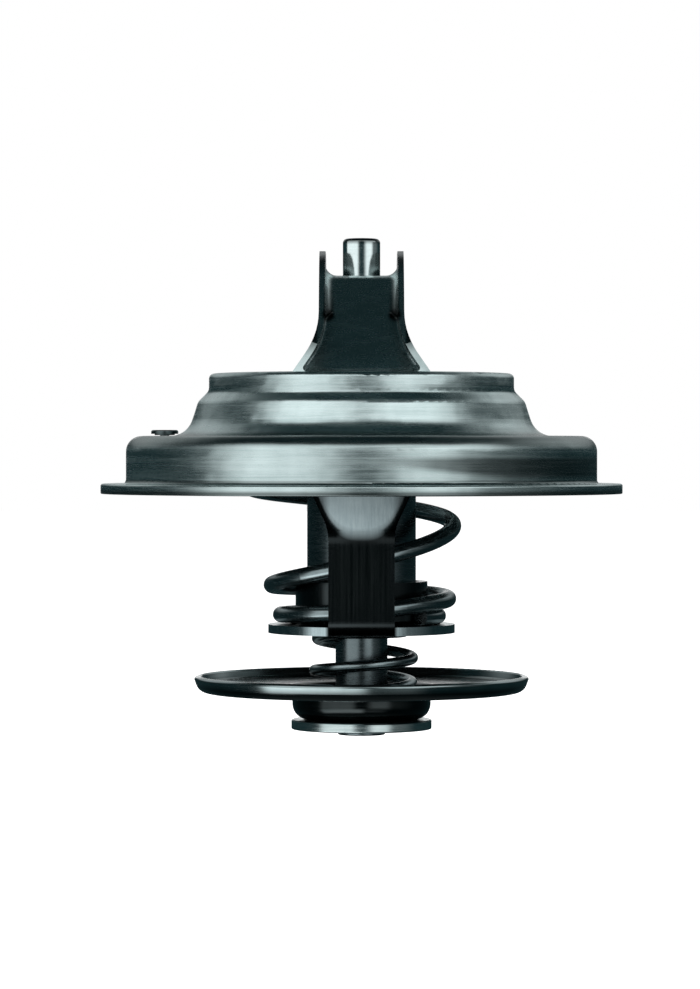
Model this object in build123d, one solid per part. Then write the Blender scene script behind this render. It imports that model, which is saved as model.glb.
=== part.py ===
from build123d import *
import math
import os

# Engine thermostat with a wax capsule, in millimetres, +Z up.
# The origin is on the axis, level with the underside of the mounting flange.
# The housing, its lower frame and the piston stay still. The capsule, the main
# valve disc and the bypass disc slide down along the axis as the wax expands.

# Overall sizes
flange_diameter = 67.0
bridge_height = 31.0
bypass_drop = 25.5
bypass_diameter = 43.0

# Housing, one deep drawn sheet, its steps measured inward from the rim and upward
housing_sheet = 1.3
flange_width = 3.25
cup_height = 7.4
cup_corner_radius = 2.0
cup_foot_radius = 0.5
flange_top_round = 0.3
flange_bottom_round = 0.15
shoulder_width = 7.85
dome_foot_round = 3.0
dome_lean = 1.4
dome_rise = 4.4
dome_top_round = 1.5
ring_step = 1.4
ring_step_rise = 1.4
ring_foot_round = 1.0
ring_wall_height = 2.2
ring_corner_round = 0.65
seat_width = 3.6

# Bridge, the channel strap over the windows, drawn from the same sheet
bridge_half_width = 5.35
bridge_wall = 0.75
bridge_wall_height = 3.2
bridge_saddle_half_length = 6.2
bridge_bend_round = 2.5
bridge_crest_round = 10.0
bridge_foot_setback = 2.8
bridge_foot_round = 2.0
bridge_corner_round = 1.5
bridge_foot_corner_round = 0.4
bridge_widening_rise = 8.5
bridge_widening_end_rise = 2.2
bridge_flare_rise = 4.6
bridge_flare_degrees = 35.0
bridge_flare_round = 9.1

# Piston
piston_diameter = 4.8
piston_stand = 4.95
piston_edge_round = 0.55
piston_taper_height = 8.0
piston_tip_height = -5.0
piston_tip_diameter = 2.8
piston_fit = 0.04

# Vent pin that hangs loose in the shoulder of the cup, its head on the dome's foot bend
vent_pin_setback = 4.95
vent_head_diameter = 3.5
vent_head_height = 0.5
vent_head_lift = 0.28
vent_boss_diameter = 2.6
vent_boss_lift = 0.12
vent_shank_diameter = 1.2
vent_hole_clearance = 0.3
vent_ball_diameter = 2.7
vent_travel = 1.0
vent_stop_gap = 0.05

# Lower frame, one bent strap with a drawn collar
frame_sheet = 1.1
plate_margin = 1.15
plate_underside = -17.85
collar_height = 6.6
collar_foot_round = 0.8
leg_half_width = 4.15
leg_spring_gap = 1.35
leg_bend_round = 0.9
leg_lean_start = -4.9
leg_lean_round = 4.0
leg_flare_start = -4.3
leg_foot_length = 4.0
leg_foot_half_width = 8.8
leg_flare_round = 7.0
leg_edge_gap = 0.1
weld_setback = 1.75
weld_half_spacing = 4.0
weld_diameter = 2.6
weld_depth = 0.3

# Wax capsule
capsule_radius = 7.0
capsule_wall = 1.0
capsule_bottom = -17.0
capsule_floor = 1.6
capsule_edge_round = 0.6
capsule_guide_clearance = 0.4
bell_radius = 9.0
bell_floor = 1.1
crimp_thickness = 0.6
crimp_inner_radius = 6.6
sleeve_flange = 0.8
sleeve_wall = 1.6
sleeve_clearance = 0.3
sleeve_tip = 2.0
guide_flange = 0.8
guide_nose_diameter = 8.8
guide_nose_gap = 2.5
guide_nose_round = 0.8
wiper_height = 1.0
wiper_width = 0.9
wiper_setback = 1.0

# Stem below the capsule, turned in one piece with it
stem_diameter = 6.7
stem_root_round = 0.5
spigot_diameter = 5.2
rivet_diameter = 6.1
rivet_height = 0.75
rivet_round = 0.2

# Main valve, dished so that its hub lies lower than its rim
valve_clearance = 0.5
valve_sheet = 1.0
hub_drop = 1.8
hub_flat_width = 0.5
rim_flat_margin = 0.8
hub_round = 0.7
seal_thickness = 0.5
seal_width = 2.4

# Main spring, conical, wound right-handed
main_wire = 2.1
main_foot_clearance = 0.25
main_top_margin = 0.2
main_coils = [
    # angle in degrees, share of the height between the seats, share of the widening
    (-400, 0.000, 0.000),
    (-310, 0.000, 0.016),
    (-180, 0.006, 0.088),
    (-90, 0.034, 0.176),
    (-40, 0.066, 0.208),
    (0, 0.081, 0.216),
    (90, 0.109, 0.264),
    (180, 0.145, 0.280),
    (250, 0.224, 0.296),
    (295, 0.308, 0.304),
    (360, 0.424, 0.320),
    (420, 0.499, 0.440),
    (480, 0.554, 0.568),
    (540, 0.605, 0.712),
    (630, 0.705, 0.800),
    (720, 0.807, 0.872),
    (810, 0.900, 0.936),
    (900, 0.965, 0.976),
    (990, 0.997, 0.992),
    (1080, 1.000, 1.000),
    (1180, 1.000, 1.000),
]

# Bypass valve
bypass_sheet = 0.9
bypass_rim_height = 1.9
bypass_rim_lean = 0.7
bypass_rim_round = 1.4
bypass_edge_round = 0.3
bypass_cup_radius = 8.9
bypass_cup_depth = 3.5
bypass_cup_round = 2.0
bypass_cup_top_round = 0.8
bypass_fit = 0.05
washer_overhang = 0.13
washer_thickness = 1.25
washer_edge_round = 0.2

# Bypass spring, wound right-handed
bypass_wire = 1.4
bypass_foot_clearance = 0.7
bypass_top_margin = 0.8
bypass_coils = [
    # angle in degrees, share of the height between the seats, share of the narrowing
    (-900, 0.000, 0.000),
    (-720, 0.008, 0.000),
    (-540, 0.143, 0.000),
    (-360, 0.319, 0.136),
    (-180, 0.484, 0.500),
    (-90, 0.572, 0.273),
    (0, 0.651, 0.000),
    (90, 0.759, 0.318),
    (123, 0.812, 0.500),
    (180, 0.911, 0.818),
    (225, 0.983, 0.955),
    (260, 1.000, 1.000),
    (450, 1.000, 1.000),
]
coil_seat_gap = 0.02
coil_step_degrees = 45.0
coil_probe_degrees = 0.5

# Places worked out from the sizes above
flange_radius = flange_diameter / 2
cup_radius = flange_radius - flange_width
dome_foot_radius = cup_radius - shoulder_width
dome_top_radius = dome_foot_radius - dome_lean
ring_radius = dome_top_radius - ring_step
window_radius = ring_radius - seat_width
dome_top_height = cup_height + dome_rise
ring_foot_height = dome_top_height + ring_step_rise
ring_height = ring_foot_height + ring_wall_height
cup_inner_radius = cup_radius - housing_sheet
shoulder_underside = cup_height - housing_sheet
ring_underside = ring_height - housing_sheet
ring_bore_radius = ring_radius - housing_sheet
bridge_saddle_height = bridge_height - bridge_wall_height
bridge_foot_reach = ring_radius - bridge_foot_setback
piston_radius = piston_diameter / 2
piston_top_height = bridge_saddle_height + piston_stand
guide_nose_height = bridge_saddle_height - housing_sheet - guide_nose_gap
vent_pin_place = cup_radius - vent_pin_setback
vent_head_seat = cup_height + vent_head_lift
vent_boss_seat = cup_height + vent_boss_lift
plate_top = plate_underside + frame_sheet
collar_radius = capsule_radius + capsule_guide_clearance + frame_sheet
main_foot_radius = collar_radius + main_foot_clearance + main_wire
plate_radius = main_foot_radius + plate_margin
leg_inner_reach = plate_radius + leg_spring_gap
leg_foot_end = cup_inner_radius - (cup_corner_radius - housing_sheet) - leg_edge_gap
weld_place = leg_foot_end - weld_setback
valve_radius = ring_bore_radius - valve_clearance
seal_inner_radius = valve_radius - seal_width
disc_radius = valve_radius - seal_thickness
disc_top = ring_underside - seal_thickness
disc_underside = disc_top - valve_sheet
main_top_radius = disc_radius - main_top_margin
hub_top = disc_top - hub_drop
hub_flat_radius = bell_radius + hub_flat_width
rim_flat_radius = main_top_radius - main_wire - rim_flat_margin
bell_bore_radius = bell_radius - capsule_wall
sleeve_seat = hub_top + bell_floor
guide_seat = sleeve_seat + sleeve_flange
crimp_seat = guide_seat + guide_flange
bell_top = crimp_seat + crimp_thickness
bypass_radius = bypass_diameter / 2
bypass_underside = -bypass_drop
bypass_floor_underside = bypass_underside - bypass_cup_depth
bypass_floor_top = bypass_floor_underside + bypass_sheet
bypass_foot_radius = bypass_cup_radius - bypass_sheet - bypass_foot_clearance
bypass_top_radius = capsule_radius - bypass_top_margin
washer_radius = bypass_cup_radius + washer_overhang
washer_underside = bypass_floor_underside - washer_thickness


def moved_aside(points, distance):
    """An open line of points moved to its right by a distance, with its corners met again."""
    points = [Vector(*point) for point in points]
    runs = [(end - start).normalized() for start, end in zip(points, points[1:])]
    sides = [Vector(run.Y, -run.X) for run in runs]
    moved = [points[0] + sides[0] * distance]
    for point, before, after in zip(points[1:-1], sides, sides[1:]):
        moved.append(point + (before + after) * (distance / (1 + before.dot(after))))
    moved.append(points[-1] + sides[-1] * distance)
    return moved


def moved_rounds(points, rounds, distance):
    """The bend radii of the moved line: smaller inside each bend, larger outside it."""
    points = [Vector(*point) for point in points]
    runs = [end - start for start, end in zip(points, points[1:])]
    turns = [before.cross(after).Z for before, after in zip(runs, runs[1:])]
    return [
        max(0, radius + distance * math.copysign(1, turn)) for radius, turn in zip(rounds, turns)
    ]


def sheet_section(points, rounds, thickness):
    """Section of a formed sheet from the line of one face. The metal is on the line's
    right, or on its left where the thickness is negative."""
    face = FilletPolyline(*points, radius=rounds)
    back_points = moved_aside(points, thickness)
    back = FilletPolyline(*back_points, radius=moved_rounds(points, rounds, thickness))
    ends = [Line(face @ 0, back @ 0), Line(face @ 1, back @ 1)]
    return make_face([*face.edges(), *back.edges(), *[end.edge() for end in ends]])


def turned(*outline):
    """Solid of revolution about Z from an outline of radius and height."""
    return revolve(Plane.XZ * make_face(Polyline(*outline, close=True)), Axis.Z)


def round_bar(radius, low, high):
    """Upright round bar on the axis."""
    return Pos(0, 0, low) * extrude(Circle(radius), high - low)


def both_sides(half):
    """A half outline in X, with its mirror image."""
    return half + mirror(half, Plane.YZ)


def strap_outline(points, rounds):
    """Front view of a strap from its right edge, filled to its left edge."""
    edge = FilletPolyline(*points, radius=rounds)
    start, end = (0, (edge @ 0).Y), (0, (edge @ 1).Y)
    closing = [Line(edge @ 0, start), Line(edge @ 1, end), Line(start, end)]
    half = make_face([*edge.edges(), *[line.edge() for line in closing]])
    return both_sides(half)


def through(outline, depth):
    """Front view outline given a depth to both sides along Y."""
    return extrude(Plane.XZ * outline, depth, both=True)


def across(section, width):
    """Side view section, its front to back mirror image added, given a width along X."""
    half = extrude(Plane.YZ * section, width, both=True)
    return half + mirror(half, Plane.XZ)


def housing_shell():
    """Flange, cup, dome and valve seat ring as one drawn shell."""
    face = [
        (window_radius, ring_height),
        (ring_radius, ring_height),
        (ring_radius, ring_foot_height),
        (dome_top_radius, dome_top_height),
        (dome_foot_radius, cup_height),
        (cup_radius, cup_height),
        (cup_radius, housing_sheet),
        (flange_radius, housing_sheet),
    ]
    rounds = [
        ring_corner_round,
        ring_foot_round,
        dome_top_round,
        dome_foot_round,
        cup_corner_radius,
        cup_foot_radius,
    ]
    section = sheet_section(face, rounds, housing_sheet)
    top_edge = section.vertices().group_by(Axis.X)[-1].sort_by(Axis.Y)[-1]
    section = fillet(top_edge, flange_top_round)
    bottom_edge = section.vertices().group_by(Axis.X)[-1].sort_by(Axis.Y)[0]
    section = fillet(bottom_edge, flange_bottom_round)
    return revolve(Plane.XZ * section, Axis.Z)


def bridge():
    """Channel strap from one side of the ring to the other, with its walls turned outward."""
    saddle_line = [
        (0, bridge_saddle_height),
        (bridge_saddle_half_length, bridge_saddle_height),
        (bridge_foot_reach, ring_height),
        (flange_radius, ring_height),
    ]
    saddle_rounds = [bridge_bend_round, bridge_foot_round]

    # The crest of the walls runs level over the saddle and then beside the web's slope.
    crest_line = moved_aside(saddle_line, -bridge_wall_height)[:2]
    slope = Vector(*saddle_line[2]) - Vector(*saddle_line[1])
    crest_line.append(crest_line[1] + slope)
    under_line = moved_aside(saddle_line, housing_sheet)
    crest = FilletPolyline(*crest_line, radius=bridge_crest_round)
    under = FilletPolyline(*under_line, radius=moved_rounds(saddle_line, saddle_rounds, housing_sheet))
    corner = (flange_radius, (crest @ 1).Y)
    edges = [
        *crest.edges(),
        *under.edges(),
        Line(crest @ 0, under @ 0).edge(),
        Line(crest @ 1, corner).edge(),
        Line(corner, under @ 1).edge(),
    ]
    side_view = make_face(edges)

    flare_foot = bridge_flare_rise + housing_sheet
    flare_line = [
        (bridge_half_width, bridge_height),
        (bridge_half_width, ring_height + bridge_flare_rise),
        (
            bridge_half_width + flare_foot * math.tan(math.radians(bridge_flare_degrees)),
            ring_underside,
        ),
    ]
    outline = strap_outline(flare_line, [bridge_flare_round])
    strap = through(outline, flange_radius) & across(side_view, flange_radius)

    # The channel is cut with rounded inside corners.
    channel_line = moved_aside(flare_line, bridge_wall)
    channel_round = bridge_flare_round + bridge_wall
    channel_outline = strap_outline(
        [(channel_line[0].X, bridge_height + bridge_wall_height), *channel_line[1:]],
        [channel_round],
    )
    over = FilletPolyline(*saddle_line, radius=saddle_rounds)
    head_room = bridge_height + bridge_wall_height
    above = [
        *over.edges(),
        Line(over @ 1, (flange_radius, head_room)).edge(),
        Line((flange_radius, head_room), (0, head_room)).edge(),
        Line((0, head_room), over @ 0).edge(),
    ]
    channel = through(channel_outline, flange_radius) & across(make_face(above), flange_radius)
    rounded = fillet(channel_corners(channel), bridge_corner_round)

    # The rounded corners narrow towards the ring, where the channel's floor widens.
    floor_half_width = channel_line[0].X - bridge_corner_round
    widening_end = ring_height + bridge_widening_end_rise
    widening = make_face(
        Polyline(
            (0, ring_height + bridge_widening_rise),
            (floor_half_width, ring_height + bridge_widening_rise),
            (flare_line[2][0], widening_end),
            (flare_line[2][0], ring_underside),
            (0, ring_underside),
            close=True,
        )
    )
    widened = channel & through(both_sides(widening), flange_radius)
    widened = fillet(channel_corners(widened), bridge_foot_corner_round)
    inside_ring = round_bar(ring_radius - ring_corner_round, ring_underside, bridge_height)
    return (strap - rounded - widened) & inside_ring


def channel_corners(channel):
    """The long edges along both sides of the channel's floor."""
    floor = channel.faces().filter_by(lambda face: face.normal_at().Z < -0.1)
    floor = floor.filter_by(lambda face: abs(face.center().X) < bridge_wall)
    return floor.edges().filter_by(lambda edge: abs(edge.center().X) > bridge_wall)


def flange_body():
    body = housing_shell() + bridge()
    piston_hole = round_bar(piston_radius, ring_height, bridge_height)
    vent_hole_radius = vent_shank_diameter / 2 + vent_hole_clearance
    vent_hole = Pos(-vent_pin_place, 0, 0) * round_bar(vent_hole_radius, 0, cup_height)
    return body - piston_hole - vent_hole


def piston():
    """Polished pin, pressed into the bridge and tapered inside the capsule."""
    blank = turned(
        (0, piston_top_height),
        (piston_radius, piston_top_height),
        (piston_radius, piston_taper_height),
        (piston_tip_diameter / 2, piston_tip_height),
        (0, piston_tip_height),
    )
    return fillet(blank.edges().group_by(Axis.Z)[-1], piston_edge_round)


def jiggle_pin():
    """Loose vent pin: a flat head with a boss over the shoulder and a ball under it."""
    ball_radius = vent_ball_diameter / 2
    ball_top = shoulder_underside - vent_travel - vent_stop_gap
    head = round_bar(vent_head_diameter / 2, vent_head_seat, vent_head_seat + vent_head_height)
    head = fillet(head.edges().group_by(Axis.Z)[-1], vent_head_height / 2)
    boss = round_bar(vent_boss_diameter / 2, vent_boss_seat, vent_head_seat)
    shank = round_bar(vent_shank_diameter / 2, ball_top - ball_radius, vent_boss_seat)
    ball = Pos(0, 0, ball_top - ball_radius) * Sphere(ball_radius)
    return Pos(-vent_pin_place, 0, 0) * (head + boss + shank + ball)


def lower_frame():
    """Spring seat with a drawn collar, and two legs that rise and splay under the shoulder."""
    collar_line = [
        (collar_radius, plate_underside + collar_height),
        (collar_radius, plate_top),
        (plate_radius, plate_top),
    ]
    plate = revolve(Plane.XZ * sheet_section(collar_line, [collar_foot_round], frame_sheet), Axis.Z)

    leg_line = [
        (plate_radius - 2 * frame_sheet, plate_top),
        (leg_inner_reach, plate_top),
        (leg_inner_reach, leg_lean_start),
        (leg_foot_end - leg_foot_length, shoulder_underside),
        (leg_foot_end, shoulder_underside),
    ]
    leg_rounds = [leg_bend_round, leg_lean_round, leg_lean_round]
    legs = across(sheet_section(leg_line, leg_rounds, frame_sheet), cup_radius)
    outline = strap_outline(
        [
            (leg_half_width, plate_underside),
            (leg_half_width, leg_flare_start),
            (leg_foot_half_width, shoulder_underside),
        ],
        [leg_flare_round],
    )
    legs = legs & through(outline, cup_radius) & round_bar(leg_foot_end, plate_underside, cup_height)

    foot_underside = shoulder_underside - frame_sheet
    dimple = round_bar(weld_diameter / 2, foot_underside - weld_depth, foot_underside + weld_depth)
    places = [
        Pos(side * weld_half_spacing, end * weld_place, 0) for side in (-1, 1) for end in (-1, 1)
    ]
    return plate + legs - [place * dimple for place in places]


def sleeve_bore(clearance):
    """Outline of the piston's lower end with a clearance all round."""
    return [
        (0, sleeve_seat + sleeve_flange),
        (piston_radius + clearance, sleeve_seat + sleeve_flange),
        (piston_radius + clearance, piston_taper_height),
        (piston_tip_diameter / 2 + clearance, piston_tip_height - clearance),
        (0, piston_tip_height - clearance),
    ]


def sleeve_blank():
    """Outer form of the rubber sleeve, its collar clamped in the bell."""
    sleeve_radius = piston_radius + sleeve_clearance + sleeve_wall
    tip_radius = piston_tip_diameter / 2 + sleeve_clearance + sleeve_wall
    return turned(
        (0, sleeve_seat + sleeve_flange),
        (bell_bore_radius, sleeve_seat + sleeve_flange),
        (bell_bore_radius, sleeve_seat),
        (sleeve_radius, sleeve_seat),
        (sleeve_radius, piston_taper_height),
        (tip_radius, piston_tip_height - sleeve_tip),
        (0, piston_tip_height - sleeve_tip),
    )


def rubber_sleeve():
    return sleeve_blank() - turned(*sleeve_bore(sleeve_clearance))


def capsule_cavity():
    """Room for the wax."""
    cavity_radius = capsule_radius - capsule_wall
    return round_bar(cavity_radius, capsule_bottom + capsule_floor, sleeve_seat)


def wax_charge():
    return capsule_cavity() - sleeve_blank()


def capsule_body():
    """Turned cup with its crimped bell above and the bypass stem below."""
    cup = round_bar(capsule_radius, capsule_bottom, hub_top)
    cup = fillet(cup.edges().group_by(Axis.Z)[0], capsule_edge_round)
    bell = round_bar(bell_radius, hub_top, bell_top)
    bell = fillet(bell.edges().group_by(Axis.Z)[-1], crimp_thickness)
    stem = turned(
        (0, capsule_bottom + stem_root_round),
        (stem_diameter / 2 + stem_root_round, capsule_bottom + stem_root_round),
        (stem_diameter / 2 + stem_root_round, capsule_bottom),
        (stem_diameter / 2, capsule_bottom - stem_root_round),
        (stem_diameter / 2, bypass_floor_underside),
        (0, bypass_floor_underside),
    )
    spigot = round_bar(spigot_diameter / 2, washer_underside, bypass_floor_underside)
    rivet = round_bar(rivet_diameter / 2, washer_underside - rivet_height, washer_underside)
    rivet = fillet(rivet.edges().group_by(Axis.Z)[0], rivet_round)
    bell_bore = round_bar(bell_bore_radius, sleeve_seat, crimp_seat)
    mouth = round_bar(crimp_inner_radius, crimp_seat, bell_top)
    return cup + bell + stem + spigot + rivet - capsule_cavity() - bell_bore - mouth


def wiper_groove():
    top = guide_nose_height - wiper_setback
    return round_bar(piston_radius + wiper_width, top - wiper_height, top)


def capsule_guide():
    """Guide pressed over the sleeve, with the bore that the piston slides in."""
    flange = round_bar(bell_bore_radius, guide_seat, crimp_seat)
    nose = round_bar(guide_nose_diameter / 2, crimp_seat, guide_nose_height)
    nose = fillet(nose.edges().group_by(Axis.Z)[-1], guide_nose_round)
    bore = round_bar(piston_radius + piston_fit, guide_seat, guide_nose_height)
    return flange + nose - bore - wiper_groove()


def piston_wiper():
    """Rubber ring in the nose of the guide, which keeps dirt off the piston's bore."""
    return wiper_groove() - round_bar(piston_radius + piston_fit, guide_seat, guide_nose_height)


def main_valve_disc():
    """Dished disc, pressed on the capsule up to its bell."""
    face = [
        (capsule_radius, hub_top),
        (hub_flat_radius, hub_top),
        (rim_flat_radius, disc_top),
        (disc_radius, disc_top),
    ]
    section = sheet_section(face, [hub_round, hub_round + valve_sheet], valve_sheet)
    return revolve(Plane.XZ * section, Axis.Z)


def valve_seal():
    """Rubber edge bonded over the rim of the main valve disc."""
    return turned(
        (seal_inner_radius, ring_underside),
        (valve_radius, ring_underside),
        (valve_radius, disc_underside),
        (disc_radius, disc_underside),
        (disc_radius, disc_top),
        (seal_inner_radius, disc_top),
    )


def smooth_between(stations, angle, column):
    """Value of a column at an angle, on a smooth curve through the stations."""
    last = len(stations) - 1
    place = next(i for i in range(last) if angle <= stations[i + 1][0] or i == last - 1)
    start, end = stations[place], stations[place + 1]
    span = end[0] - start[0]

    def slope(index):
        low, high = stations[max(index - 1, 0)], stations[min(index + 1, last)]
        return (high[column] - low[column]) / (high[0] - low[0])

    t = (angle - start[0]) / span
    return (
        (2 * t**3 - 3 * t**2 + 1) * start[column]
        + (t**3 - 2 * t**2 + t) * span * slope(place)
        + (3 * t**2 - 2 * t**3) * end[column]
        + (t**3 - t**2) * span * slope(place + 1)
    )


def joined_arcs(start, start_way, end, end_way):
    """Two arcs between two points. They leave and arrive in the given directions."""
    gap = end - start
    ways = start_way + end_way
    pull = gap.dot(ways)
    reach = gap.dot(gap) / (pull + math.sqrt(pull**2 - (ways.dot(ways) - 4) * gap.dot(gap)))
    before, after = start + start_way * reach, end - end_way * reach
    meeting = (before + after) / 2
    return [
        TangentArc(start, meeting, tangent=start_way).edge(),
        TangentArc(meeting, end, tangent=after - before).edge(),
    ]


def coil_spring(stations, wire, seats, outer_radii):
    """Round wire wound right-handed between two flat seats."""
    inset = wire / 2 + coil_seat_gap
    low, high = seats[0] + inset, seats[1] - inset
    foot_radius, top_radius = outer_radii

    def centre_line(angle):
        rise = min(max(smooth_between(stations, angle, 1), 0), 1)
        change = smooth_between(stations, angle, 2)
        radius = foot_radius + change * (top_radius - foot_radius) - wire / 2
        turn = math.radians(angle)
        return Vector(radius * math.cos(turn), radius * math.sin(turn), low + rise * (high - low))

    def heading(angle):
        ahead, behind = angle + coil_probe_degrees, angle - coil_probe_degrees
        return (centre_line(ahead) - centre_line(behind)).normalized()

    first, last = stations[0][0], stations[-1][0]
    steps = round((last - first) / coil_step_degrees)
    angles = [first + (last - first) * step / steps for step in range(steps + 1)]
    arcs = []
    for angle, after in zip(angles, angles[1:]):
        arcs += joined_arcs(centre_line(angle), heading(angle), centre_line(after), heading(after))
    path = Wire(arcs)
    return sweep(Plane(path @ 0, z_dir=path % 0) * Circle(wire / 2), path=path)


def bypass_disc():
    """Drawn dish with an upturned rim and a cup for the spring, sliding on the stem."""
    # The leaning rim reaches its full radius on the rounded edge.
    lean = math.atan(bypass_rim_lean / bypass_rim_height)
    rim_radius = bypass_radius + bypass_edge_round * (math.sin(lean) + math.cos(lean) - 1)
    face = [
        (stem_diameter / 2 + bypass_fit, bypass_floor_underside),
        (bypass_cup_radius, bypass_floor_underside),
        (bypass_cup_radius, bypass_underside),
        (rim_radius - bypass_rim_lean, bypass_underside),
        (rim_radius, bypass_underside + bypass_rim_height),
    ]
    rounds = [bypass_cup_round, bypass_cup_top_round, bypass_rim_round]
    section = sheet_section(face, rounds, -bypass_sheet)
    section = fillet(section.vertices().sort_by(Axis.Y)[-2:], bypass_edge_round)
    return revolve(Plane.XZ * section, Axis.Z)


def retaining_washer():
    """Washer riveted on the end of the stem, which carries the bypass disc."""
    washer = round_bar(washer_radius, washer_underside, bypass_floor_underside)
    washer = fillet(washer.edges(), washer_edge_round)
    return washer - round_bar(spigot_diameter / 2, washer_underside, bypass_floor_underside)


os.makedirs("parts", exist_ok=True)
nodes = {
    "flange_body": flange_body(),
    "piston": piston(),
    "jiggle_pin": jiggle_pin(),
    "lower_frame": lower_frame(),
    "capsule_body": capsule_body(),
    "capsule_guide": capsule_guide(),
    "rubber_sleeve": rubber_sleeve(),
    "wax_charge": wax_charge(),
    "piston_wiper": piston_wiper(),
    "main_valve_disc": main_valve_disc(),
    "valve_seal": valve_seal(),
    "main_spring": coil_spring(
        main_coils, main_wire, (plate_top, disc_underside), (main_foot_radius, main_top_radius)
    ),
    "bypass_spring": coil_spring(
        bypass_coils,
        bypass_wire,
        (bypass_floor_top, capsule_bottom),
        (bypass_foot_radius, bypass_top_radius),
    ),
    "bypass_disc": bypass_disc(),
    "retaining_washer": retaining_washer(),
}
for name, node in nodes.items():
    export_step(node, f"parts/{name}.step")
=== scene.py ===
import math

import bpy
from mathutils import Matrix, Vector


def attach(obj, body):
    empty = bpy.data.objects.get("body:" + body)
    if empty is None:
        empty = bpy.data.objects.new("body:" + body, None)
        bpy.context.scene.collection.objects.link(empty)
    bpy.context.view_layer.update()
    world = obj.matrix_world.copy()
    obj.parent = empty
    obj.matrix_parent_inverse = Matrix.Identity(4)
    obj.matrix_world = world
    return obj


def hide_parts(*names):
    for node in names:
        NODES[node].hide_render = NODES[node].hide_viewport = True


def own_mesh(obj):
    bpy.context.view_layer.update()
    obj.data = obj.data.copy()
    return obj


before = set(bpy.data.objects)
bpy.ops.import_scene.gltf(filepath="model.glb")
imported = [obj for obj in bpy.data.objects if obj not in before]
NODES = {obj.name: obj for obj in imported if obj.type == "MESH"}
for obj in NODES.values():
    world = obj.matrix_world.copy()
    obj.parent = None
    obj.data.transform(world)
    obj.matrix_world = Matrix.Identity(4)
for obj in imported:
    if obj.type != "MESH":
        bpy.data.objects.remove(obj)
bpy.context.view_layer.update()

MM = 0.001
WHITE = (1.0, 1.0, 1.0, 1.0)

# Camera: level with the flange, far off, aimed a little left of the axis
CAMERA_DISTANCE = 0.510
CAMERA_HEIGHT = 0.0056
AIM = Vector((-0.001479, 0.0, -0.000116))
SENSOR_SIZE = 36.0
PICTURE_HEIGHT = 989
FOCAL_PIXELS = 3966

# Floor: its glow for the eye rises from a painted shadow in the middle outward and reaches white
# far off
FLOOR_HEIGHT = -0.095
FLOOR_RADIUS = 6.0
FLOOR_STEPS = 96
FLOOR_COLOUR = (0.85, 0.85, 0.85, 1.0)
FLOOR_SHADOW_MIDDLE = 0.25
FLOOR_NEAR_END, FLOOR_NEAR = 0.09, 0.9
FLOOR_WHITE_FROM, FLOOR_WHITE_TO = 0.10, 0.22

# Studio wall: a dark room that only the metal's gloss sees, with soft boxes on it and a window
# behind the part that reaches WALL_WINDOW degrees to each side
WALL_RADIUS = 2.0
WALL_STEPS, WALL_RINGS = 72, 36
WALL_WINDOW = 8
WALL_LEVEL = 0.035
WALL_COLOUR = (0.38, 0.9, 1.0, 1.0)
APRON_RADIUS = 0.0005
PATCH_COLOUR = (0.99, 1.0, 1.0, 1.0)
WALL_PATCHES = [
    # middle, half size and softness of the edge in azimuth and elevation, level
    ((-41, 29, 4), (2, 24, 6), 1.12),
    ((-44, 32, 5), (38, 12, 6), 1.4),
    ((30, 16, 6), (-2, 18, 6), 1.08),
    ((42, 28, 8), (23, 7, 6), 1.2),
    ((44, 31, 8), (39, 9, 6), 1.5),
    ((60, 22, 14), (-2, 18, 6), 0.12),
    ((0, 15, 5), (37, 11, 6), 0.65),
    ((-35, 37, 4), (-35, 12, 4), 2.4),
    ((24, 16, 8), (-36, 8, 5), 0.3),
    ((180, 56, 11), (25, 13, 6), 0.34),
    ((180, 64, 14), (32, 16, 8), 0.24),
    ((112, 22, 14), (34, 12, 8), 0.27),
    ((0, 190, 5), (-86, 26, 12), 0.1),
]

# Other light: the white world's strength on the part, and two lamps above it
WORLD_LEVEL = 0.35
LAMPS = [
    # name, place, size, power
    ("top_front", (0.0, -0.75, 0.85), (1.0, 0.6), 14),
    ("top", (0.0, 0.25, 1.1), (0.9, 0.5), 8),
]

# Springs: CAD node, body, joint, height of the seat that doesn't move, length and travel in mm
SPRINGS = [
    ("main_spring", "housing", "valve_lift", -16.75, 29.35, 8.0),
    ("bypass_spring", "capsule", "bypass_slide", -17.0, 11.1, 4.0),
]

# Places on the housing in mm: corner between cup and flange as reach and height, start of the
# widening in the bridge's channel as distance aside and height, level of the ring's top. The
# limits in the tones below are in mm on the part too.
CUP_FOOT = (30.35, 1.6)
CHANNEL_WIDENING = (4.2, 22.5)
RING_TOP = 15.5

# How much a step outward counts in the turning lines against a step upward
REACH_SHARE = 0.83


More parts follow.
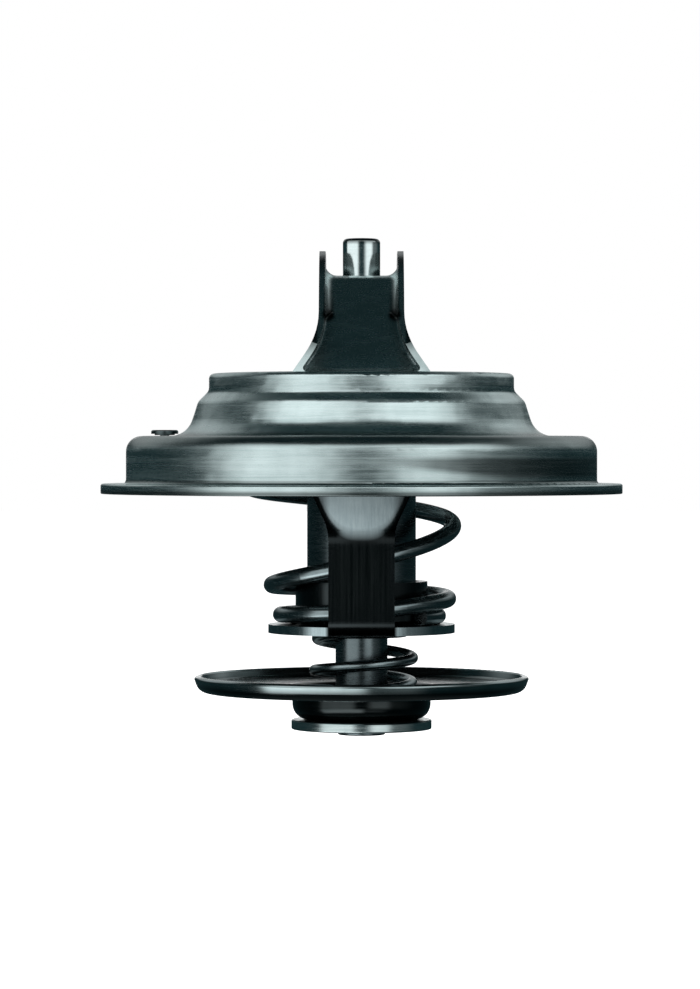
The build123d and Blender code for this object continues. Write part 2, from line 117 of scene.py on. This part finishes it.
class Shader:
    """Short names for building the nodes of one material or world."""

    def __init__(self, owner, output="OutputMaterial"):
        owner.use_nodes = True
        self.owner = owner
        self.tree = owner.node_tree
        self.tree.nodes.clear()
        self.output = self.node(output)

    def node(self, kind, **settings):
        made = self.tree.nodes.new("ShaderNode" + kind)
        for key, value in settings.items():
            setattr(made, key, value)
        return made

    def feed(self, socket, value):
        """Link an output socket to an input, or set a plain value."""
        if isinstance(value, bpy.types.NodeSocket):
            self.tree.links.new(value, socket)
        else:
            socket.default_value = value

    def fed(self, made, *values):
        """Feed a node's first inputs in their order and give the node back."""
        for socket, value in zip(made.inputs, values):
            self.feed(socket, value)
        return made

    def math(self, operation, *values):
        return self.fed(self.node("Math", operation=operation), *values).outputs[0]

    def product(self, first, *others):
        for other in others:
            first = self.math("MULTIPLY", first, other)
        return first

    def vector(self, operation, *values):
        made = self.fed(self.node("VectorMath", operation=operation), *values)
        return made.outputs["Value" if operation == "LENGTH" else "Vector"]

    def scaled(self, vector, amount):
        """A colour or another vector times a number."""
        made = self.node("VectorMath", operation="SCALE")
        self.feed(made.inputs[0], vector)
        self.feed(made.inputs["Scale"], amount)
        return made.outputs["Vector"]

    def split(self, vector):
        """The three numbers of a vector."""
        return self.fed(self.node("SeparateXYZ"), vector).outputs

    def joined(self, x, y, z):
        """Three numbers as a vector."""
        return self.fed(self.node("CombineXYZ"), x, y, z).outputs[0]

    def spread(self, value, from_low, from_high, to_low, to_high):
        """A number that goes from to_low to to_high while value crosses its own range."""
        made = self.fed(self.node("MapRange"), value, from_low, from_high, to_low, to_high)
        return made.outputs[0]

    def rising(self, value, low, high):
        return self.spread(value, low, high, 0.0, 1.0)

    def falling(self, value, low, high):
        return self.spread(value, low, high, 1.0, 0.0)

    def blend(self, share, first, second):
        """A number that goes from first to second as share goes from 0 to 1."""
        made = self.node("Mix", data_type="FLOAT")
        self.feed(made.inputs["Factor"], share)
        self.feed(made.inputs["A"], first)
        self.feed(made.inputs["B"], second)
        return made.outputs["Result"]

    def mix(self, share, dark, light):
        """A colour that goes from dark to light as share goes from 0 to 1."""
        made = self.node("Mix", data_type="RGBA")
        self.feed(made.inputs["Factor"], share)
        made.inputs["A"].default_value = (*dark, 1)
        made.inputs["B"].default_value = (*light, 1)
        return made.outputs["Result"]

    def object_place(self):
        return self.node("TexCoord").outputs["Object"]

    def place(self):
        """Place on the part in millimetres."""
        return self.scaled(self.object_place(), 1 / MM)

    def reach(self, where):
        """Distance from the axis."""
        return self.vector("LENGTH", self.vector("MULTIPLY", where, (1, 1, 0)))

    def height(self, where):
        return self.split(where)["Z"]

    def aside(self, where):
        """Distance to the left or right of the plane through the axis and the camera."""
        return self.math("ABSOLUTE", self.split(where)["X"])

    def distance(self, across, up, point):
        """Distance in a plane from a point of it."""
        sides = [self.math("SUBTRACT", side, at) for side, at in zip((across, up), point)]
        squares = [self.math("MULTIPLY", side, side) for side in sides]
        return self.math("SQRT", self.math("ADD", *squares))

    def noise(self, where, scale, detail=3.0, roughness=0.5):
        made = self.node("TexNoise")
        self.feed(made.inputs["Vector"], where)
        made.inputs["Scale"].default_value = scale
        made.inputs["Detail"].default_value = detail
        made.inputs["Roughness"].default_value = roughness
        return made.outputs["Fac"]

    def around(self, where, along, across):
        """Place wound round the axis: slow along the turning lines, fine across them. Reach
        counts beside height, so that level faces have lines too."""
        direction = self.vector("NORMALIZE", self.vector("MULTIPLY", where, (1, 1, 0)))
        turned = self.split(self.scaled(direction, along))
        depth = self.math("MULTIPLY", self.reach(where), REACH_SHARE)
        depth = self.math("ADD", depth, self.height(where))
        return self.joined(turned["X"], turned["Y"], self.math("MULTIPLY", depth, across))

    def face_normal(self):
        return self.node("NewGeometry").outputs["Normal"]

    def bump(self, height, strength, distance, normal=None):
        made = self.node("Bump")
        if normal:
            self.feed(made.inputs["Normal"], normal)
        made.inputs["Strength"].default_value = strength
        made.inputs["Distance"].default_value = distance
        self.feed(made.inputs["Height"], height)
        return made.outputs["Normal"]

    def emission(self, colour, strength):
        made = self.node("Emission")
        made.inputs["Color"].default_value = colour
        self.feed(made.inputs["Strength"], strength)
        return made

    def show(self, first, second=None):
        """Put one shader on the surface, or the sum of two."""
        if second:
            first = self.fed(self.node("AddShader"), first.outputs[0], second.outputs[0])
        self.feed(self.output.inputs["Surface"], first.outputs[0])
        return self.owner


def new_shader(name):
    return Shader(bpy.data.materials.new(name))


def metal(name, dark, light, rough, streaks, turned=True, anisotropic=0.0, bump=0.1, blotch=0.5,
          tone=None, lift=None, bent=None, waves=0.0):
    """Metal with fine working lines, round the axis or up and down, and soft staining. tone gives
    a number by place that darkens or lightens it as painted shade and painted highlights, lift
    the normals of softly bowed faces, and bent the share of a place that was bent after drawing."""
    s = new_shader(name)
    where = s.place()
    if turned:
        lines = s.noise(s.around(where, 1.6, streaks), 1.0, 4.0, 0.65)
    else:
        lines = s.noise(s.vector("MULTIPLY", where, (streaks, streaks * 0.1, 0.06)), 1.0, 4.0, 0.65)
    if bent:
        # Bent metal has soft mottling in place of the turning lines.
        mottling = s.noise(s.vector("MULTIPLY", where, (0.5, 1, 1.2)), 0.8, 3.0, 0.6)
        lines = s.blend(bent(s, where), lines, s.spread(mottling, 0.2, 0.8, 0.4, 0.6))
    stain = s.noise(where, 0.16, 3.0, 0.6)
    share = s.math("ADD", s.math("MULTIPLY", lines, 1 - blotch), s.math("MULTIPLY", stain, blotch))
    colour = s.mix(s.rising(share, 0.35, 0.65), dark, light)
    if tone:
        colour = s.scaled(colour, tone(s, where))
    shader = s.node("BsdfPrincipled")
    s.feed(shader.inputs["Base Color"], colour)
    shader.inputs["Metallic"].default_value = 1.0
    s.feed(shader.inputs["Roughness"], s.spread(lines, 0.3, 0.7, rough * 0.8, rough * 1.2))
    if anisotropic:
        shader.inputs["Anisotropic"].default_value = anisotropic
        tangent = s.node("Tangent", direction_type="RADIAL", axis="Z")
        s.feed(shader.inputs["Tangent"], tangent.outputs[0])
    normal = lift(s, where) if lift else None
    if waves:
        # Drawn sheet is a little wavy, which shows in its reflections.
        swell = s.noise(s.around(where, 3.0, 0.22), 1.0, 2.0, 0.5)
        normal = s.bump(swell, 1.0, waves * MM, normal)
    s.feed(shader.inputs["Normal"], s.bump(lines, bump, 0.02 * MM, normal))
    return s.show(shader)


def plain(name, dark, light, rough):
    """Rubber or wax with a faint grain."""
    s = new_shader(name)
    grain = s.noise(s.place(), 2.5, 4.0, 0.6)
    shader = s.node("BsdfPrincipled")
    s.feed(shader.inputs["Base Color"], s.mix(grain, dark, light))
    shader.inputs["Roughness"].default_value = rough
    s.feed(shader.inputs["Normal"], s.bump(grain, 0.15, 0.05 * MM))
    return s.show(shader)


def ring_lift(s, where):
    """The ring leans inward by its draft, and its foot bends more sharply than the CAD's."""
    height = s.height(where)
    foot = s.spread(height, 12.45, 12.85, 0.0, -0.4)
    lean = s.spread(height, 13.2, 13.8, 0.0, 0.56)
    rise = s.joined(0.0, 0.0, s.math("ADD", foot, lean))
    return s.vector("NORMALIZE", s.vector("ADD", s.face_normal(), rise))


def leg_lift(s, where):
    """The legs' leaning tops are bowed, so they catch the light from in front."""
    flatter = s.joined(1.0, 1.0, s.spread(leg_rise(s, where), -6.4, -4.6, 1.0, 0.3))
    return s.vector("NORMALIZE", s.vector("MULTIPLY", s.face_normal(), flatter))


def piston_lift(s, where):
    """The piston shows the lights in front of it a little wider, as a worn pin does."""
    return s.vector("NORMALIZE", s.vector("MULTIPLY", s.face_normal(), (0.6, 1, 1)))


def above_ring(s, where):
    """1 on the bridge, 0 on the ring and everything below."""
    return s.rising(s.height(where), RING_TOP, RING_TOP + 0.4)


def housing_tone(s, where):
    """Painted shade on the housing: in the crease at the cup's foot, on the flange's lower edge and
    shoulder, in a streak on the cup, and on the bridge.
    """
    x, y, height = s.split(where)
    aside, reach = s.aside(where), s.reach(where)
    # Painted shade in the crease at the cup's foot, on the lower band of the flange's edge and on
    # the shoulder's rounded corner
    crease_shade = s.spread(s.distance(reach, height, CUP_FOOT), 0.15, 0.35, 0.45, 1.0)
    rim = s.spread(height, 0.35, 0.75, 0.3, 1.0)
    shoulder = s.product(s.rising(height, 5.75, 6.35), s.falling(height, 7.5, 8.0))
    shoulder = s.blend(shoulder, 1.0, 0.45)

    # Painted shade: a dark streak on the right of the cup's front, which gets wider to the right
    low = s.spread(x, 5.0, 18.0, 3.9, 2.5)
    shaded_streak = s.product(
        s.rising(x, 1.0, 9.0),
        s.falling(y, -4.0, 2.0),
        s.rising(height, s.math("SUBTRACT", low, 0.7), low),
        s.falling(height, 4.3, 5.0),
    )
    shaded_streak = s.blend(shaded_streak, 1.0, 0.35)

    # Bridge: painted shade makes it darker than the cup, most so on its walls' tips and flanks, in
    # its folds and where its channel widens
    bridge = s.spread(height, RING_TOP, RING_TOP + 2.0, 1.0, 0.75)
    tips = s.spread(height, 27.5, 29.5, 1.0, 0.2)
    widening = s.spread(s.distance(aside, height, CHANNEL_WIDENING), 0.5, 1.0, 0.1, 1.0)
    fold = s.product(
        s.rising(aside, 3.3, 3.7), s.falling(aside, 4.65, 4.85), s.rising(height, 22.1, 22.4)
    )
    fold = s.blend(fold, 1.0, s.spread(height, 22.4, 26.5, 0.1, 1.0))
    flank = s.product(s.rising(aside, 5.4, 5.6), above_ring(s, where))
    flank = s.blend(flank, 1.0, s.spread(height, 17.4, 19.2, 1.0, 0.25))
    return s.product(crease_shade, rim, shoulder, shaded_streak, bridge, tips, widening, fold, flank)


def leg_rise(s, where):
    """Height on the legs, less towards their edges, so that a limit in it is rounded."""
    drop = s.math("POWER", s.math("MULTIPLY", s.aside(where), 1 / 5.3), 3.0)
    return s.math("SUBTRACT", s.height(where), s.math("MULTIPLY", drop, 5.0))


def leg_tone(s, where):
    """Painted shade and highlights: the legs' flats are darkened, and their leaning tops and the
    plate's edge are lightened.
    """
    height, aside = s.height(where), s.aside(where)
    # Painted highlight on the plate's edge beside the legs
    plate = s.product(
        s.falling(height, -16.4, -16.0),
        s.spread(s.reach(where), 9.0, 11.0, 0.0, 2.0),
        s.rising(aside, 4.2, 4.6),
    )
    # Painted highlight on the legs' leaning tops
    top = s.product(
        s.spread(height, -4.5, 0.0, 1.1, 0.6),
        s.rising(leg_rise(s, where), -5.8, -4.1),
        s.spread(aside, 3.9, 4.8, 1.0, 0.35),
    )
    # Painted shade on the legs' flats, deepest from the bend's start up and deeper at their feet
    shaded_flats = s.product(
        s.spread(height, -6.3, -5.9, 0.2, 0.07), s.spread(height, -16.6, -15.9, 0.5, 1.0)
    )
    return s.math("ADD", s.math("ADD", top, plate), shaded_flats)


def piston_tone(s, where):
    """Painted shade: the rounded edge at the piston's end is darkened."""
    return s.spread(s.height(where), 31.9, 32.4, 1.0, 0.15)


def dish_tone(s, where):
    """Painted shade: the small cup in the dish's middle is darkened, and so is the foot of the
    dish's wall.
    """
    reach = s.reach(where)
    cup = s.spread(reach, 10.2, 11.6, 0.12, 1.0)
    foot = s.spread(s.height(where), -24.7, -24.0, 0.15, 1.0)
    return s.math("MULTIPLY", cup, s.blend(s.rising(reach, 19.6, 20.2), 1.0, foot))


def dress(material, *names):
    for name in names:
        NODES[name].data.materials.clear()
        NODES[name].data.materials.append(material)


def make_materials():
    dress(
        metal("housing_finish_and_painted_shade", (0.40, 0.49, 0.49), (0.66, 0.77, 0.77), 0.27, 2.6,
              anisotropic=0.5, bump=0.02, blotch=0.35, tone=housing_tone, lift=ring_lift,
              bent=above_ring, waves=0.3),
        "flange_body",
    )
    dress(
        metal("piston_finish_and_painted_shade", (0.62, 0.7, 0.7), (0.75, 0.85, 0.85), 0.14, 3.0, bump=0.02,
              tone=piston_tone, lift=piston_lift),
        "piston",
    )
    dress(
        metal("frame_finish_and_painted_light", (0.14, 0.175, 0.185), (0.22, 0.265, 0.275), 0.22, 3.5, turned=False,
              blotch=0.35, tone=leg_tone, lift=leg_lift),
        "lower_frame",
    )
    dress(
        metal("bypass_finish_and_painted_shade", (0.18, 0.23, 0.235), (0.34, 0.40, 0.405), 0.17, 3.5, bump=0.03,
              tone=dish_tone),
        "bypass_disc",
    )
    for name, dark, light, rough, streaks, node in (
        ("pin_finish", (0.08, 0.10, 0.105), (0.16, 0.20, 0.205), 0.35, 3.0, "jiggle_pin"),
        ("capsule_finish", (0.12, 0.15, 0.16), (0.22, 0.265, 0.275), 0.28, 4.0, "capsule_body"),
        ("guide_finish", (0.3, 0.34, 0.33), (0.5, 0.54, 0.52), 0.3, 4.0, "capsule_guide"),
        ("valve_finish", (0.22, 0.28, 0.28), (0.4, 0.47, 0.47), 0.3, 3.0, "main_valve_disc"),
        ("washer_finish", (0.4, 0.48, 0.48), (0.66, 0.75, 0.75), 0.22, 4.0, "retaining_washer"),
    ):
        dress(metal(name, dark, light, rough, streaks), node)
    dress(plain("rubber_finish", (0.012, 0.014, 0.014), (0.03, 0.034, 0.034), 0.6),
          "rubber_sleeve", "piston_wiper", "valve_seal")
    dress(plain("wax_finish", (0.55, 0.5, 0.36), (0.7, 0.65, 0.5), 0.5), "wax_charge")
    spring = metal("spring_finish", (0.15, 0.19, 0.20), (0.32, 0.38, 0.39), 0.24, 5.0, bump=0.04)
    dress(spring, "main_spring", "bypass_spring")


def make_springs():
    """The springs' own pieces: copies of the CAD springs, hung on their bodies in place of the
    hidden nodes.
    """
    for node, body, joint, seat, free, travel in SPRINGS:
        wire = bpy.data.objects.new(node + "_wire", NODES[node].data.copy())
        bpy.context.scene.collection.objects.link(wire)
        wire.matrix_world = NODES[node].matrix_world
        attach(wire, body)
        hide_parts(node)
        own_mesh(wire)


def new_object(name, verts, faces):
    mesh = bpy.data.meshes.new(name)
    mesh.from_pydata(verts, [], faces)
    mesh.update()
    made = bpy.data.objects.new(name, mesh)
    bpy.context.scene.collection.objects.link(made)
    return made


def circle(radius, height, steps):
    turns = [math.tau * step / steps for step in range(steps)]
    return [(radius * math.cos(turn), radius * math.sin(turn), height) for turn in turns]


def belt(first, steps):
    """Faces between two circles of vertices that follow each other in a mesh."""
    pairs = [(first + step, first + (step + 1) % steps) for step in range(steps)]
    return [(a, b, b + steps, a + steps) for a, b in pairs]


def seen(s):
    """1 for rays that see the backdrop: from the camera, in gloss and through glass."""
    path = s.node("LightPath").outputs
    seen_by = s.math("MAXIMUM", path["Is Camera Ray"], path["Is Glossy Ray"])
    return s.math("MAXIMUM", seen_by, path["Is Transmission Ray"])


def make_floor():
    """Round pale floor, white far off, that keeps the shadow under the part. Its glow is low under
    the part, a painted shadow.
    """
    ring = circle(FLOOR_RADIUS, FLOOR_HEIGHT, FLOOR_STEPS)
    floor = new_object("floor", ring, [list(range(FLOOR_STEPS))])
    s = new_shader("floor_pale")
    reach = s.reach(s.object_place())
    # Painted shadow: the glow is lowest under the part
    near = s.spread(reach, 0.0, FLOOR_NEAR_END, FLOOR_SHADOW_MIDDLE, FLOOR_NEAR)
    far = s.spread(reach, FLOOR_WHITE_FROM, FLOOR_WHITE_TO, 0.0, 1.0 - FLOOR_NEAR)
    diffuse = s.node("BsdfDiffuse")
    diffuse.inputs["Color"].default_value = FLOOR_COLOUR
    glow = s.emission(WHITE, s.math("MULTIPLY", s.math("ADD", near, far), seen(s)))
    floor.data.materials.append(s.show(diffuse, glow))


def glow_patch(s, azimuth, elevation, across, up, level):
    """One soft-edged patch of light on the studio wall, in degrees round the part."""
    shares = []
    for angle, (centre, half_size, soft) in ((azimuth, across), (elevation, up)):
        off = s.math("WRAP", s.math("SUBTRACT", angle, centre), 180.0, -180.0)
        shares.append(s.falling(s.math("ABSOLUTE", off), half_size - soft, half_size + soft))
    return s.product(*shares, level)


def wall_mesh():
    """Ball round the part with a window behind it, and a flat apron over the floor."""
    verts, faces = [], []
    for ring in range(WALL_RINGS + 1):
        tilt = math.pi * (ring / WALL_RINGS - 0.5)
        verts += circle(WALL_RADIUS * math.cos(tilt), WALL_RADIUS * math.sin(tilt), WALL_STEPS)
    for ring in range(WALL_RINGS):
        for face in belt(ring * WALL_STEPS, WALL_STEPS):
            middle = sum((Vector(verts[i]) for i in face), Vector()) / 4
            turn = math.degrees(math.atan2(abs(middle.x), middle.y))
            rise = math.degrees(math.asin(abs(middle.z) / middle.length))
            if max(turn, rise) >= WALL_WINDOW:
                faces.append(face)
    faces += belt(len(verts), WALL_STEPS)
    for radius in (APRON_RADIUS, WALL_RADIUS):
        verts += circle(radius, FLOOR_HEIGHT + MM, WALL_STEPS)
    return verts, faces


def make_studio_wall():
    """Dark round wall out of shot with soft boxes on it, which the metal reflects, and an
    apron over the far floor. A window behind the part leaves the white backdrop to be seen."""
    wall = new_object("studio_wall", *wall_mesh())
    s = new_shader("studio_paint")
    where = s.object_place()
    x, y, z = s.split(where)
    turn = s.math("ARCTAN2", x, s.math("MULTIPLY", y, -1.0))
    azimuth = s.math("MULTIPLY", turn, math.degrees(1))
    rise = s.math("ARCSINE", s.math("DIVIDE", z, s.vector("LENGTH", where)))
    elevation = s.math("MULTIPLY", rise, math.degrees(1))
    total = 0.0
    for patch in WALL_PATCHES:
        total = s.math("ADD", glow_patch(s, azimuth, elevation, *patch), total)
    glow = s.emission(PATCH_COLOUR, total)
    wall.data.materials.append(s.show(glow, s.emission(WALL_COLOUR, WALL_LEVEL)))
    wall.visible_camera = False
    wall.visible_diffuse = False
    wall.visible_shadow = False


def make_lamp(name, place, size, power):
    lamp = bpy.data.objects.new(name, bpy.data.lights.new(name, "AREA"))
    bpy.context.scene.collection.objects.link(lamp)
    lamp.location = place
    lamp.rotation_mode = "QUATERNION"
    lamp.rotation_quaternion = (-lamp.location).to_track_quat("-Z", "Y")
    lamp.data.shape = "RECTANGLE"
    lamp.data.size, lamp.data.size_y = size
    lamp.data.energy = power
    lamp.visible_camera = False
    lamp.visible_glossy = False


def make_light():
    s = Shader(bpy.data.worlds.new("studio"), "OutputWorld")
    background = s.node("Background")
    background.inputs["Color"].default_value = WHITE
    s.feed(background.inputs["Strength"], s.spread(seen(s), 0.0, 1.0, WORLD_LEVEL, 1.0))
    bpy.context.scene.world = s.show(background)
    for lamp in LAMPS:
        make_lamp(*lamp)


def make_camera():
    camera = bpy.data.objects.new("camera", bpy.data.cameras.new("camera"))
    bpy.context.scene.collection.objects.link(camera)
    camera.location = (0, -CAMERA_DISTANCE, CAMERA_HEIGHT)
    camera.rotation_mode = "QUATERNION"
    camera.rotation_quaternion = (AIM - camera.location).to_track_quat("-Z", "Y")
    camera.data.sensor_fit = "AUTO"
    camera.data.sensor_width = SENSOR_SIZE
    camera.data.lens = FOCAL_PIXELS / PICTURE_HEIGHT * SENSOR_SIZE
    camera.data.clip_start = 0.01
    camera.data.clip_end = 50
    bpy.context.scene.camera = camera


make_camera()
make_light()
make_floor()
make_studio_wall()
make_materials()
make_springs()

bpy.context.scene.view_settings.view_transform = "Standard"
